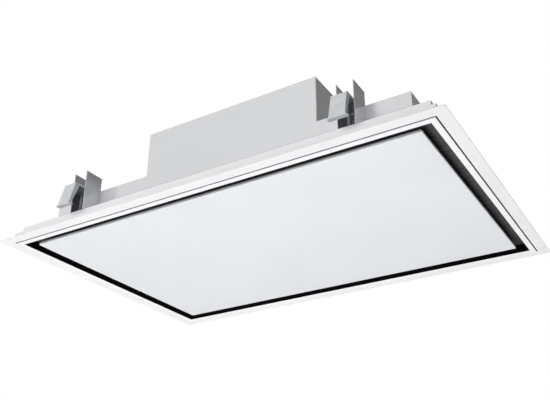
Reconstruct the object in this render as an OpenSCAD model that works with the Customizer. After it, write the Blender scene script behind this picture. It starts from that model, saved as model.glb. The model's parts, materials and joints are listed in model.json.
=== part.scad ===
// Ceiling range hood: a flush panel that draws air round its edge, in a folded frame under a motor box.
// Millimetres, +Z up. The origin is the centre of the flange's upper face, where the ceiling lies.
// +X runs along the long side and -Y is the side that carries the one-piece front sheet.

/* [Frame] */
// Width of the ceiling flange, along X
flange_w = 900; // [860:10:1000]
// Depth of the ceiling flange, along Y
flange_d = 600; // [580:10:700]
// Thickness of the folded steel sheet
sheet_t = 1.5; // [1.2:0.1:1.6]
// Width of the flange's flat face, up to the groove
flange_face_w = 20.3; // [20.3:0.1:22]
// Distance from the flange's edge to its upstand
upstand_inset = 18.3; // [17:0.1:18.6]
// Height of the upstand above the ceiling plane
upstand_h = 18.5; // [14:0.5:24]
// Width of the groove between flange and rim
groove_w = 2.2; // [1.8:0.1:2.4]
// Width of the rim's face
rim_w = 10.1; // [9.9:0.1:12]
// How far the rim stands below the flange
rim_drop = 1; // [0.6:0.1:2]
// Thickness of the black liner of the air gap
liner_t = 1; // [0.8:0.1:1.2]
// Distance from the flange's edge to the pan's wall
pan_inset = 28.5; // [28:0.1:28.8]
// Height of the pan's shelf above the ceiling plane
pan_h = 33.5; // [30:0.5:38]
// Height of the inner tray's underside
inner_tray_z = 14.5; // [14:0.1:15]

/* [Body] */
// Width of the shelf beside the body, at the short sides
body_inset_x = 72; // [66:1:76]
// Width of the shelf beside the body, at the long sides
body_inset_y = 71; // [68:1:74]
// Height of the body's deck above the ceiling plane
body_top = 92; // [90:1:100]
// Width of the flanges that the body stands on
foot_flange_w = 12; // [10:0.5:14]
// Radius of the holes for the hanging rods
hanger_hole_r = 4.5; // [3.5:0.1:6]
// Distance of the hanging rods from the body's short sides
hanger_inset_x = 48; // [42:1:56]
// Distance of the hanging rods from the body's long sides
hanger_inset_y = 49; // [40:1:56]

/* [Motor box] */
// Width of the motor box
box_w = 364; // [350:2:380]
// Place of the motor box's middle along X
box_x = 28.5; // [10:0.5:40]
// Distance from the motor box's rear to the body's rear
box_rear_inset = 58; // [52:2:68]
// Height of the motor box's top above the ceiling plane
box_top = 184; // [180:1:200]
// Width of the flat outlet duct
spigot_w = 218; // [200:1:222]
// Length of the outlet spigot behind the motor box
spigot_len = 85; // [82:1:110]

/* [Panel] */
// Width of the air gap at the short sides
gap_side_w = 20.8; // [16:0.1:24]
// Width of the air gap at the front
gap_front_w = 17.8; // [14:0.1:22]
// Width of the air gap at the back, where the hinges are
gap_back_w = 21.7; // [20:0.1:24]
// Thickness of the panel's glass
glass_t = 5; // [4:0.5:6]
// Height of the panel's steel tray
panel_tray_h = 3.5; // [3:0.1:4]
// How far the panel's glass stands out past its tray
glass_over = 3; // [2:0.1:4]
// Thickness of the panel tray's sheet
panel_sheet_t = 1; // [0.8:0.1:1.2]
// Distance of each panel hinge from the flange's short side
hinge_inset = 150; // [120:5:200]
// Radius of the panel's hinge pins
hinge_pin_r = 2.5; // [2:0.1:3]

/* [Filters] */
// Width of the inner tray beside the grease filters
filter_land_w = 70; // [62:1:90]
// Depth of one grease filter
filter_d = 370; // [340:2:380]
// Thickness of a grease filter
filter_t = 10; // [9:0.5:12]
// Travel of a filter's latch
latch_travel = 6; // [5:0.5:7]

/* [Ceiling clamps] */
// Distance of each clamp from the body's short side
clamp_inset = 94; // [80:1:130]
// Outer width of a clamp's channel
channel_w = 31.5; // [30:0.1:36]
// How far a channel stands out from the body
channel_reach = 41; // [38:0.5:42]
// Height of a channel's cheeks above the ceiling plane
channel_top = 118.5; // [100:0.5:124]
// Height of a claw's top above the ceiling plane
claw_top = 83.5; // [82:0.5:90]
// Height of a claw's foot above the ceiling plane, with the claw fully up
claw_foot = 33.5; // [32:0.5:38]
// Reach of a claw's top from the body
claw_top_reach = 63; // [60:0.5:66]
// Reach of a claw's foot from the body
claw_foot_reach = 75; // [72:0.5:80]
// Radius of a clamp's screw
clamp_screw_r = 3; // [2.5:0.1:3.5]

/* [Fan] */
// Radius of the fan wheel
wheel_r = 100; // [94:1:102]
// Number of blades on the fan wheel
blade_count = 36; // [24:1:44]
// Radius of the motor's can
motor_r = 55; // [45:1:56]
// Height of the motor's can
motor_h = 55; // [50:1:58]
// Radius of the motor's shaft
shaft_r = 4; // [3:0.1:5]
// Distance of the fan's axis from the motor box's middle, along X
fan_offset = 6.5; // [4:0.5:9]
// Distance of the fan's axis from the front sheet
fan_inset = 159; // [156:1:162]

/* [Hidden] */

// Overrun of a cut past the face that it opens
cut = 1;
// Smoothness of turned shapes
$fn = 48;
// Gap between faces that move past each other or drop into place
seat_gap = 0.3;
// Radial clearance of a pin that turns in a bore
running_gap = 0.05;
// Radial clearance of a part that is fixed on its pin or shaft
fixed_gap = 0.02;

half_w = flange_w / 2;
half_d = flange_d / 2;
rim_outer_inset = flange_face_w + groove_w;
rim_inner_inset = rim_outer_inset + rim_w;
rim_bottom = -sheet_t - rim_drop;
seal_depth = 0.4;
liner_recess = 0.3;
pan_inner_inset = pan_inset + sheet_t;
rim_leg_inset = pan_inner_inset + sheet_t;
liner_inset = rim_inner_inset + liner_t;
inner_tray_top = inner_tray_z + sheet_t;

body_x = half_w - body_inset_x;
body_y = half_d - body_inset_y;
deck_z = body_top - sheet_t;
shell_front = -body_y + sheet_t;
box_left = box_x - box_w / 2;
box_right = box_x + box_w / 2;
box_rear = body_y - box_rear_inset;
hanger_x = body_x - hanger_inset_x;
hanger_y = body_y - hanger_inset_y;
clamp_x = body_x - clamp_inset;
fan_x = box_x + fan_offset;
fan_y = -body_y + fan_inset;

// Panel
panel_x = half_w - rim_inner_inset - gap_side_w;
panel_front = -half_d + rim_inner_inset + gap_front_w;
panel_back = half_d - rim_inner_inset - gap_back_w;
panel_bottom = -sheet_t;
glass_top = panel_bottom + glass_t;
panel_floor = glass_top + panel_sheet_t;
panel_top = glass_top + panel_tray_h;
tray_x = panel_x - glass_over;
tray_front = panel_front + glass_over;
tray_back = panel_back - glass_over;
rib_w = 14;
rib_h = 1.8;
rib_y = 120;

// Panel hinges: the pin lies behind the panel's back edge, above its tray
hinge_x = half_w - hinge_inset;
hinge_back = 6.3;
hinge_rise = 1;
hinge_y = panel_back + hinge_back;
hinge_z = panel_top + hinge_rise;
knuckle_r = 5;
knuckle_w = 14;
bracket_t = 2;
bracket_gap = 1;
bracket_foot_t = 1.5;
pin_over = 2;
pin_head_r = 3.6;
pin_head_t = 1;
ear_foot_w = 24;
ear_foot_d = 20;
ear_foot_t = 1.5;
ear_post_d = 4;
ear_arm_t = 3;
ear_arm_gap = 0.5;

// Magnetic catches at the panel's front edge
catch_x = hinge_x;
catch_inset = 26;
magnet_w = 40;
magnet_d = 15;
strike_w = 44;
strike_d = 18;

// Filters
filter_gap = 2;
filter_bar_w = 24;
filter_w = half_w - pan_inner_inset - filter_land_w - filter_bar_w / 2 - filter_gap;
filter_z = inner_tray_z + sheet_t / 2;
filter_skin_t = 1;
filter_edge_w = 9;
filter_x = (filter_bar_w + filter_w) / 2 + filter_gap;
filter_top = filter_z + filter_t;
mesh_gap = 0.2;
tongue_w = 20;
tongue_reach = 10;
tongue_t = 1.2;
tongue_x = 80;
latch_case_w = 60;
latch_case_d = 34;
latch_w = 24;
latch_d = 27;
latch_t = 2;
latch_reach = 7;
knob_w = 16;
knob_d = 10;
knob_drop = 3;
knob_back = 8;
latch_z = inner_tray_top + seat_gap;

// Clamps
cheek_t = 1.5;
channel_web_top = body_top;
screw_axis_reach = 31;
screw_hole_gap = 0.1;
screw_head_r = 5.5;
screw_head_h = 4.5;
screw_over = 6.5;
screw_collar_r = 5;
screw_collar_h = 1.7;
driver_hole_r = 7;
claw_t = 1.5;
claw_w = 28;
claw_side_top_d = 10;
claw_side_low_d = 5;
claw_rail_h = 4;
claw_inner_reach = 3;
claw_collar_r = 6;
claw_collar_h = 6;
claw_foot_w = 34;
claw_foot_d = 9;

// Body fasteners and hangers
hanger_plate_w = 60;
hanger_plate_d = 40;
hanger_plate_t = 3;
shell_screw_r = 2;
shell_screw_head_r = 3.6;
shell_screw_head_h = 2.2;
shell_screw_len = 9;
shell_screw_end = 38;
shell_screw_shares = [-1, -0.56, 0, 0.56, 1];

// Fan casing
casing_t = 1.2;
scroll_headroom = 7.3;
scroll_base_top = body_top + casing_t;
scroll_roof = box_top - sheet_t - scroll_headroom;
scroll_lid_z = scroll_roof - casing_t;
scroll_gap = 12;
scroll_growth = 46;
scroll_start_r = wheel_r + scroll_gap;
scroll_end_r = scroll_start_r + scroll_growth;
tongue_angle = 60;
scroll_step = 15;
// Where the casing's tongue ends, for each unit of the casing's thickness
tongue_tip_shares = [-3.4, 2.9];
duct_room = 8;
duct_w = spigot_w - duct_room;
inlet_inset = 14;
inlet_lip_w = 18;
inlet_rise = 8;
casing_hole_gap = 1.8;
deck_hole_gap = 5;
inlet_r = wheel_r - inlet_inset;
inlet_lip_r = inlet_r + inlet_lip_w;
scroll_inlet_r = inlet_r + casing_t + casing_hole_gap;
deck_inlet_r = inlet_r + casing_t + deck_hole_gap;

// Fan wheel
wheel_gap_low = 4;
wheel_gap_high = 6;
wheel_z = scroll_base_top + wheel_gap_low;
wheel_top = scroll_lid_z - wheel_gap_high;
blade_len = 12.5;
blade_t = 1.2;
blade_angle = 35;
wheel_band_w = 11;
wheel_ring_h = 2.5;
wheel_wall_t = 2;
hat_gap = 5;
hat_r = motor_r + hat_gap;
hub_r = 12;
hub_h = 10;
hat_floor_gap = 7;

// Motor
can_t = 1.5;
motor_z = scroll_lid_z - motor_h;
hat_floor = motor_z - hat_floor_gap;
bearing_r = 11;
bearing_h = 7;
boss_r = 14;
boss_h = 11;
boss_lip = 3;
boss_hole_r = 6;
bearing_low_z = motor_z + boss_lip;
bearing_high_z = scroll_lid_z - can_t - boss_lip - bearing_h;
stator_in_r = 32;
air_gap = 1;
stator_h = 22;
rotor_short = 1;
stator_z = motor_z + (motor_h - stator_h) / 2;
shaft_low = hat_floor - hub_h;
shaft_high = bearing_high_z + bearing_h;
motor_screw_ring = 42;
motor_screw_count = 3;
motor_screw_r = 2;
motor_screw_head_r = 3.6;
motor_screw_head_h = 2.6;

// Control housing, between a hanger plate and the motor box
control_gap = 10;
control_under_box = 3.5;
control_left = -hanger_x + hanger_plate_w / 2 + control_gap;
control_right = box_left + control_under_box;
control_x = (control_left + control_right) / 2;
control_w = control_right - control_left;
control_d = 130;
control_h = 38;
control_wall = 2;
lid_t = 2;
board_t = 1.6;
board_gap = 3;
board_drop = 18;
post_r = 3;
post_inset = 12;
capacitor_r = 8;
capacitor_len = 50;
capacitor_x = 0.2 * control_w;
capacitor_y_back = 95;
terminal_w = 0.36 * control_w;
terminal_d = 18;
terminal_h = 16;
terminal_back = 20;
choke_w = 0.24 * control_w;
choke_d = 30;
choke_h = 9;
choke_x = 0.2 * control_w;
choke_back = 74;
gland_side = 20;
gland_x = control_x + gland_side;
gland_z = 70;
gland_bore_r = 4;
gland_body_r = 8;
gland_hex_r = 12;
gland_hex_h = 6;
gland_dome_r = 10;
gland_dome_h = 12;
gland_nut_h = 5;
control_back = body_y - sheet_t;
control_front = control_back - control_d;
lid_z = deck_z - control_h - lid_t;
board_z = deck_z - board_drop;

// Motor cable, from the control housing over the fan casing to the motor
cable_r = 2.5;
cable_hole_gap = 0.5;
cable_room = 4;
cable_side = 28;
cable_inset = 22.5;
cable_x = box_left + cable_side;
cable_y = control_front + cable_inset;
cable_low_z = deck_z - cable_room - cable_r;
cable_high_z = scroll_roof + scroll_headroom / 2;
cable_drop_x = fan_x - cable_side;
grommet_r = 8;
grommet_lip = 1.5;

// Outlet
spigot_t = 1.5;
spigot_foot = 0.6;
spigot_low = body_top + spigot_foot;
spigot_high = scroll_lid_z + spigot_foot;
spigot_x = fan_x + scroll_end_r - duct_w / 2;
spigot_rim_w = 9;
spigot_screw_r = 1.75;
spigot_screw_head_r = 3.2;
spigot_screw_head_h = 2;
spigot_screw_len = 6;
damper_back = 8;
damper_headroom = 1.35;
damper_y = box_rear + damper_back;
damper_pin_r = 2;
damper_barrel_r = 3.6;
damper_z = spigot_high - spigot_t - damper_barrel_r - damper_headroom;
damper_t = 1.2;
damper_side_gap = 1;
damper_low_gap = 2;
stop_h = 5;
stop_t = 1.5;
stop_gap = 0.4;

// A rectangular ring between two distances from the flange's edge
module band(from_inset, to_inset, low, high) {
    translate([0, 0, low])
    linear_extrude(high - low)
    difference() {
        square([flange_w - 2 * from_inset, flange_d - 2 * from_inset], center = true);
        square([flange_w - 2 * to_inset, flange_d - 2 * to_inset], center = true);
    }
}

// A box given by its two corners
module block(low, high) {
    translate(low)
    cube(high - low);
}

// A vertical cylinder given by its foot's place and its height
module post(place, r, h) {
    translate(place)
    cylinder(r = r, h = h);
}

// Copies its child to the four places at plus and minus x and y
module at_corners(x, y) {
    for (sx = [-1, 1])
        for (sy = [-1, 1])
            translate([sx * x, sy * y, 0])
            children();
}

module ceiling_flange() {
    color("whitesmoke")
    union() {
        band(0, flange_face_w, -sheet_t, 0);
        band(upstand_inset, upstand_inset + sheet_t, -sheet_t, upstand_h);
        band(upstand_inset, pan_inset, upstand_h - sheet_t, upstand_h);
    }
}

module rim_frame() {
    color("white")
    union() {
        band(rim_outer_inset, rim_inner_inset, rim_bottom, rim_bottom + sheet_t);
        band(pan_inner_inset, rim_leg_inset, rim_bottom, inner_tray_z);
    }
}

// A black strip closes the groove between the flange and the rim
module groove_seal() {
    color("black")
    band(flange_face_w, rim_outer_inset, -sheet_t + seal_depth, 0);
}

module gap_liner() {
    color("black")
    union() {
        band(rim_inner_inset, liner_inset, rim_bottom + liner_recess, inner_tray_z);
        band(rim_leg_inset, liner_inset, inner_tray_z - liner_t, inner_tray_z);
    }
}

// Places of the screws that hold the body down on the pan's shelf
module at_shell_screws() {
    for (share = shell_screw_shares)
        for (sy = [-1, 1])
            translate([share * (body_x - shell_screw_end), sy * (body_y - foot_flange_w / 2), 0])
            children();
}

// Places of the four clamp screws
module at_clamp_screws() {
    at_corners(clamp_x, body_y + screw_axis_reach)
        children();
}

module pan() {
    color("gainsboro")
    difference() {
        union() {
            band(pan_inset, pan_inner_inset, rim_bottom + sheet_t, pan_h);
            block([-half_w + pan_inset, -half_d + pan_inset, pan_h - sheet_t],
                [half_w - pan_inset, half_d - pan_inset, pan_h]);
        }
        block([-body_x + foot_flange_w, -body_y + foot_flange_w, pan_h - sheet_t - cut],
            [body_x - foot_flange_w, body_y - foot_flange_w, pan_h + cut]);
        at_clamp_screws()
            post([0, 0, pan_h - sheet_t - cut], clamp_screw_r + screw_hole_gap, sheet_t + 2 * cut);
        at_shell_screws()
            post([0, 0, pan_h - sheet_t - cut], shell_screw_r + fixed_gap, sheet_t + 2 * cut);
    }
}

module inner_tray() {
    open_w = filter_w + 2 * filter_gap;
    open_d = filter_d + 2 * filter_gap;
    color("dimgray")
    difference() {
        block([-half_w + pan_inner_inset, -half_d + pan_inner_inset, inner_tray_z],
            [half_w - pan_inner_inset, half_d - pan_inner_inset, inner_tray_top]);
        for (side = [-1, 1])
            translate([side * filter_x, 0, inner_tray_z + sheet_t / 2])
            cube([open_w, open_d, sheet_t + 2 * cut], center = true);
        at_clamp_screws()
            post([0, 0, inner_tray_z - cut], driver_hole_r, sheet_t + 2 * cut);
    }
}

module body_shell() {
    color("lightgray")
    difference() {
        union() {
            block([-body_x, shell_front, deck_z], [body_x, body_y, body_top]);
            block([-body_x, shell_front, pan_h], [-body_x + sheet_t, body_y, body_top]);
            block([body_x - sheet_t, shell_front, pan_h], [body_x, body_y, body_top]);
            block([-body_x, body_y - sheet_t, pan_h], [body_x, body_y, body_top]);
            block([-body_x, shell_front, pan_h], [-body_x + foot_flange_w, body_y, pan_h + sheet_t]);
            block([body_x - foot_flange_w, shell_front, pan_h], [body_x, body_y, pan_h + sheet_t]);
            block([-body_x, body_y - foot_flange_w, pan_h], [body_x, body_y, pan_h + sheet_t]);
        }
        post([fan_x, fan_y, deck_z - cut], deck_inlet_r, sheet_t + 2 * cut);
        post([cable_x, cable_y, deck_z - cut], grommet_r - grommet_lip, sheet_t + 2 * cut);
        at_corners(hanger_x, hanger_y)
            post([0, 0, deck_z - cut], hanger_hole_r, sheet_t + 2 * cut);
        at_shell_screws()
            post([0, 0, pan_h - cut], shell_screw_r + fixed_gap, sheet_t + 2 * cut);
        gland_hole();
    }
}

// One sheet closes the front of both the body and the motor box, so no seam shows between them
module front_sheet() {
    color("lightgray")
    difference() {
        union() {
            block([-body_x, -body_y, pan_h], [body_x, shell_front, body_top]);
            block([box_left, -body_y, pan_h], [box_right, shell_front, box_top]);
            block([-body_x + foot_flange_w, -body_y, pan_h],
                [body_x - foot_flange_w, -body_y + foot_flange_w, pan_h + sheet_t]);
        }
        at_shell_screws()
            post([0, 0, pan_h - cut], shell_screw_r + fixed_gap, sheet_t + 2 * cut);
    }
}

module motor_cover() {
    color("lightgray")
    difference() {
        block([box_left, shell_front, body_top], [box_right, box_rear, box_top]);
        block([box_left + sheet_t, shell_front - cut, body_top - cut],
            [box_right - sheet_t, box_rear - sheet_t, box_top - sheet_t]);
        block([spigot_x - spigot_w / 2 + spigot_t, box_rear - sheet_t - cut, scroll_base_top],
            [spigot_x + spigot_w / 2 - spigot_t, box_rear + cut, spigot_high - spigot_t]);
        at_spigot_screws()
            rotate([90, 0, 0])
            cylinder(r = spigot_screw_r + fixed_gap, h = 2 * sheet_t + cut, center = true);
    }
}

module shell_screws() {
    color("silver")
    at_shell_screws() {
        post([0, 0, pan_h - sheet_t - shell_screw_head_h], shell_screw_head_r, shell_screw_head_h);
        post([0, 0, pan_h - sheet_t - shell_screw_head_h], shell_screw_r,
            shell_screw_head_h + shell_screw_len);
    }
}

module hanger_plates() {
    color("silver")
    at_corners(hanger_x, hanger_y)
        difference() {
            translate([0, 0, deck_z - hanger_plate_t / 2])
            cube([hanger_plate_w, hanger_plate_d, hanger_plate_t], center = true);
            post([0, 0, deck_z - hanger_plate_t - cut], hanger_hole_r, hanger_plate_t + 2 * cut);
        }
}

module panel_glass() {
    color("white")
    block([-panel_x, panel_front, panel_bottom], [panel_x, panel_back, glass_top]);
}

// The glass is bonded to a shallow folded tray with two stiffening ribs
module panel_tray() {
    color("silver")
    union() {
        difference() {
            block([-tray_x, tray_front, glass_top], [tray_x, tray_back, panel_top]);
            block([-tray_x + panel_sheet_t, tray_front + panel_sheet_t, panel_floor],
                [tray_x - panel_sheet_t, tray_back - panel_sheet_t, panel_top + cut]);
        }
        for (side = [-1, 1])
            block([-tray_x + panel_sheet_t, side * rib_y - rib_w / 2, panel_floor],
                [tray_x - panel_sheet_t, side * rib_y + rib_w / 2, panel_floor + rib_h]);
    }
}

// Copies its child to both panel hinges
module at_hinges() {
    for (side = [-1, 1])
        translate([side * hinge_x, hinge_y, hinge_z])
        children();
}

// A cylinder along X, centred on its own middle
module along_x(r, len) {
    rotate([0, 90, 0])
    cylinder(r = r, h = len, center = true);
}

module panel_ears() {
    foot_back = tray_back - panel_sheet_t - seat_gap - hinge_y;
    post_low = panel_floor - hinge_z;
    arm_low = panel_top + ear_arm_gap - hinge_z;
    arm_high = arm_low + ear_arm_t;
    color("silver")
    at_hinges()
        difference() {
            union() {
                along_x(knuckle_r, knuckle_w);
                block([-ear_foot_w / 2, foot_back - ear_foot_d, post_low],
                    [ear_foot_w / 2, foot_back, post_low + ear_foot_t]);
                block([-knuckle_w / 2, foot_back - ear_post_d, post_low],
                    [knuckle_w / 2, foot_back, arm_high]);
                block([-knuckle_w / 2, foot_back - ear_post_d, arm_low],
                    [knuckle_w / 2, 0, arm_high]);
            }
            along_x(hinge_pin_r + running_gap, knuckle_w + 2 * cut);
        }
}

module panel_strikes() {
    color("silver")
    for (x = [-catch_x, 0, catch_x])
        translate([x, panel_front + catch_inset, 0])
        block([-strike_w / 2, -strike_d / 2, panel_floor], [strike_w / 2, strike_d / 2, panel_top]);
}

module catch_magnets() {
    color("dimgray")
    for (x = [-catch_x, 0, catch_x])
        translate([x, panel_front + catch_inset, 0])
        block([-magnet_w / 2, -magnet_d / 2, panel_top + seat_gap],
            [magnet_w / 2, magnet_d / 2, inner_tray_z]);
}

module hinge_brackets() {
    lip_z = inner_tray_z - hinge_z;
    arm_x = knuckle_w / 2 + bracket_gap;
    color("black")
    at_hinges()
        difference() {
            union() {
                for (side = [-1, 1]) {
                    translate([side * (arm_x + bracket_t / 2), 0, 0])
                    along_x(knuckle_r, bracket_t);
                    translate([side * (arm_x + bracket_t / 2), 0, lip_z / 2])
                    cube([bracket_t, 2 * knuckle_r, lip_z], center = true);
                }
                block([-arm_x - bracket_t, -knuckle_r, lip_z - bracket_foot_t],
                    [arm_x + bracket_t, knuckle_r, lip_z]);
            }
            along_x(hinge_pin_r + fixed_gap, 2 * (arm_x + bracket_t + cut));
        }
}

module hinge_pins() {
    half = knuckle_w / 2 + bracket_gap + bracket_t;
    color("silver")
    at_hinges() {
        along_x(hinge_pin_r, 2 * half + 2 * pin_over);
        for (side = [-1, 1])
            translate([side * (half + pin_head_t / 2 + fixed_gap), 0, 0])
            along_x(pin_head_r, pin_head_t);
    }
}

// Place of the latch on one filter, at the middle of its front edge
module at_filter(side) {
    translate([side * filter_x, 0, 0])
    children();
}

module filter_frame(side) {
    w = filter_w / 2;
    d = filter_d / 2;
    color("silver")
    at_filter(side)
        difference() {
            union() {
                block([-w, -d, filter_z], [w, d, filter_top]);
                for (x = [-tongue_x, tongue_x])
                    block([x - tongue_w / 2, d, latch_z],
                        [x + tongue_w / 2, d + tongue_reach, latch_z + tongue_t]);
            }
            block([-w + filter_skin_t, -d + filter_skin_t, filter_z + filter_skin_t],
                [w - filter_skin_t, d - filter_skin_t, filter_top - filter_skin_t]);
            block([-w + filter_edge_w, -d + filter_edge_w, filter_z - cut],
                [w - filter_edge_w, d - filter_edge_w, filter_top + cut]);
            block([-latch_case_w / 2 - fixed_gap, -d - cut, filter_z - cut],
                [latch_case_w / 2 + fixed_gap, -d + latch_case_d, filter_top + cut]);
        }
}

module filter_mesh(side) {
    w = filter_w / 2 - filter_skin_t - mesh_gap;
    d = filter_d / 2 - filter_skin_t - mesh_gap;
    color("lightgray")
    at_filter(side)
        difference() {
            block([-w, -d, filter_z + filter_skin_t + mesh_gap],
                [w, d, filter_top - filter_skin_t - mesh_gap]);
            block([-latch_case_w / 2 - mesh_gap, -d - cut, filter_z],
                [latch_case_w / 2 + mesh_gap, -filter_d / 2 + latch_case_d + mesh_gap, filter_top]);
        }
}

module latch_case(side) {
    d = filter_d / 2;
    knob_low = -d + knob_back;
    slide_back = -d - latch_reach + latch_d + latch_travel;
    color("black")
    at_filter(side)
        difference() {
            block([-latch_case_w / 2, -d, filter_z], [latch_case_w / 2, -d + latch_case_d, filter_top]);
            block([-latch_w / 2 - seat_gap, -d - cut, latch_z - seat_gap],
                [latch_w / 2 + seat_gap, slide_back + seat_gap, latch_z + latch_t + seat_gap]);
            block([-knob_w / 2 - seat_gap, knob_low - seat_gap, filter_z - cut],
                [knob_w / 2 + seat_gap, knob_low + knob_d + latch_travel + seat_gap, latch_z]);
        }
}

module filter_latch(side) {
    d = filter_d / 2;
    knob_low = -d + knob_back;
    color("dimgray")
    at_filter(side)
        union() {
            block([-latch_w / 2, -d - latch_reach, latch_z],
                [latch_w / 2, -d - latch_reach + latch_d, latch_z + latch_t]);
            block([-knob_w / 2, knob_low, filter_z - knob_drop],
                [knob_w / 2, knob_low + knob_d, latch_z + latch_t]);
        }
}

// Turns a clamp piece, drawn for the front, to the front (-1) or back (1) face of the body
module at_clamp(side_x, side_y) {
    translate([side_x * clamp_x, side_y * body_y, 0])
    mirror([0, side_y > 0 ? 1 : 0, 0])
    children();
}

module clamp_channels() {
    half = channel_w / 2;
    color("darkgray")
    for (side_x = [-1, 1])
        for (side_y = [-1, 1])
            at_clamp(side_x, side_y)
                difference() {
                    union() {
                        block([-half, -channel_reach, pan_h], [-half + cheek_t, 0, channel_top]);
                        block([half - cheek_t, -channel_reach, pan_h], [half, 0, channel_top]);
                        block([-half, -cheek_t, pan_h], [half, 0, channel_web_top]);
                        block([-half, -channel_reach, pan_h], [half, 0, pan_h + cheek_t]);
                    }
                    post([0, -screw_axis_reach, pan_h - cut], clamp_screw_r + screw_hole_gap,
                        cheek_t + 2 * cut);
                }
}

// A folded claw: top plate on the screw, slanted front with side ears, and the foot that grips the ceiling
module claw(side_x, side_y) {
    half = claw_w / 2;
    top = claw_top;
    slope = [[-claw_top_reach, top], [-claw_foot_reach, claw_foot], [-claw_foot_reach + claw_t, claw_foot],
        [-claw_top_reach + claw_t, top]];
    ear = [[-claw_top_reach, top], [-claw_foot_reach, claw_foot],
        [-claw_foot_reach + claw_side_low_d, claw_foot],
        [-claw_top_reach + claw_side_top_d, top - claw_rail_h],
        [-claw_inner_reach, top - claw_rail_h], [-claw_inner_reach, top]];
    color("lightgray")
    at_clamp(side_x, side_y)
        difference() {
            union() {
                block([-half, -claw_top_reach, top - claw_t], [half, -claw_inner_reach, top]);
                across(-half, half) polygon(slope);
                across(-half, -half + claw_t) polygon(ear);
                across(half - claw_t, half) polygon(ear);
                block([-claw_foot_w / 2, -claw_foot_reach, claw_foot],
                    [claw_foot_w / 2, -claw_foot_reach + claw_foot_d, claw_foot + claw_t]);
                post([0, -screw_axis_reach, top - claw_collar_h], claw_collar_r, claw_collar_h);
            }
            post([0, -screw_axis_reach, top - claw_collar_h - cut], clamp_screw_r + running_gap,
                claw_collar_h + 2 * cut);
        }
}

// Extrudes an outline drawn in Y and Z from one X to another
module across(from_x, to_x) {
    translate([from_x, 0, 0])
    rotate([90, 0, 90])
    linear_extrude(to_x - from_x)
    children();
}

module clamp_screw(side_x, side_y) {
    low = pan_h - sheet_t - seat_gap - screw_head_h;
    color("silver")
    at_clamp(side_x, side_y)
        translate([0, -screw_axis_reach, 0])
        difference() {
            union() {
                post([0, 0, low], clamp_screw_r, claw_top + screw_over - low);
                post([0, 0, low], screw_head_r, screw_head_h);
                post([0, 0, pan_h + cheek_t + seat_gap], screw_collar_r, screw_collar_h);
            }
            translate([0, 0, low - cut])
            cylinder(r = clamp_screw_r, h = screw_head_h / 2 + cut, $fn = 6);
        }
}

// Outline of the fan's scroll: the spiral grows round to the outlet's outer wall, then opens as a duct
function scroll_r(a) =
    scroll_start_r + (scroll_end_r - scroll_start_r) * (a - tongue_angle) / (360 - tongue_angle);
function scroll_outline(t, back) = concat(
    [[fan_x + scroll_start_r * cos(tongue_angle), fan_y + scroll_start_r * sin(tongue_angle)]
        + t * tongue_tip_shares],
    [for (a = [tongue_angle + scroll_step : scroll_step : 360])
        [fan_x + (scroll_r(a) + t) * cos(a), fan_y + (scroll_r(a) + t) * sin(a)]],
    [[fan_x + scroll_end_r + t, back], [fan_x + scroll_end_r - duct_w - t, back]]);

module scroll_base() {
    color("silver")
    translate([0, 0, body_top])
    linear_extrude(casing_t)
    difference() {
        polygon(scroll_outline(casing_t, box_rear - sheet_t));
        translate([fan_x, fan_y])
        circle(r = scroll_inlet_r);
    }
}

module scroll_wall() {
    color("silver")
    translate([0, 0, scroll_base_top])
    linear_extrude(scroll_lid_z - scroll_base_top)
    difference() {
        polygon(scroll_outline(casing_t, box_rear - sheet_t));
        polygon(scroll_outline(0, box_rear - sheet_t + cut));
    }
}

module at_motor_screws() {
    translate([fan_x, fan_y, 0])
    for (i = [0 : motor_screw_count - 1])
        rotate([0, 0, i * 360 / motor_screw_count])
        translate([motor_screw_ring, 0, 0])
        children();
}

module scroll_top() {
    color("silver")
    difference() {
        translate([0, 0, scroll_lid_z])
        linear_extrude(casing_t)
        polygon(scroll_outline(casing_t, box_rear - sheet_t));
        post([cable_drop_x, fan_y, scroll_lid_z - cut], cable_r + cable_hole_gap, casing_t + 2 * cut);
        at_motor_screws()
            post([0, 0, scroll_lid_z - cut], motor_screw_r + fixed_gap, casing_t + 2 * cut);
    }
}

module inlet_ring() {
    low = deck_z - casing_t;
    color("silver")
    translate([fan_x, fan_y, 0])
    rotate_extrude()
    polygon([[inlet_r, low], [inlet_lip_r, low], [inlet_lip_r, deck_z], [inlet_r + casing_t, deck_z],
        [inlet_r + casing_t, body_top + inlet_rise], [inlet_r, body_top + inlet_rise]]);
}

// The wheel's back dips as a hat round the motor, so the motor sits inside the wheel
module fan_wheel() {
    wall = hat_r + wheel_wall_t;
    bore = shaft_r + fixed_gap;
    back = wheel_top - wheel_wall_t;
    floor_low = hat_floor - wheel_wall_t;
    color("dimgray")
    translate([fan_x, fan_y, 0])
    union() {
        rotate_extrude()
        polygon([[bore, shaft_low], [hub_r, shaft_low], [hub_r, floor_low], [wall, floor_low],
            [wall, back], [wheel_r, back], [wheel_r, wheel_top], [hat_r, wheel_top],
            [hat_r, hat_floor], [bore, hat_floor]]);
        rotate_extrude()
        translate([wheel_r - wheel_band_w, wheel_z])
        square([wheel_band_w, wheel_ring_h]);
        translate([0, 0, wheel_z + wheel_ring_h])
        linear_extrude(back - wheel_z - wheel_ring_h)
        for (i = [0 : blade_count - 1])
            rotate(i * 360 / blade_count)
            translate([wheel_r - wheel_band_w / 2, 0])
            rotate(blade_angle)
            square([blade_len, blade_t], center = true);
    }
}

module motor_shaft() {
    color("silver")
    post([fan_x, fan_y, shaft_low], shaft_r, shaft_high - shaft_low);
}

module rotor_core() {
    color("gray")
    difference() {
        post([fan_x, fan_y, stator_z + rotor_short], stator_in_r - air_gap, stator_h - 2 * rotor_short);
        post([fan_x, fan_y, stator_z], shaft_r + fixed_gap, stator_h);
    }
}

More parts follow.
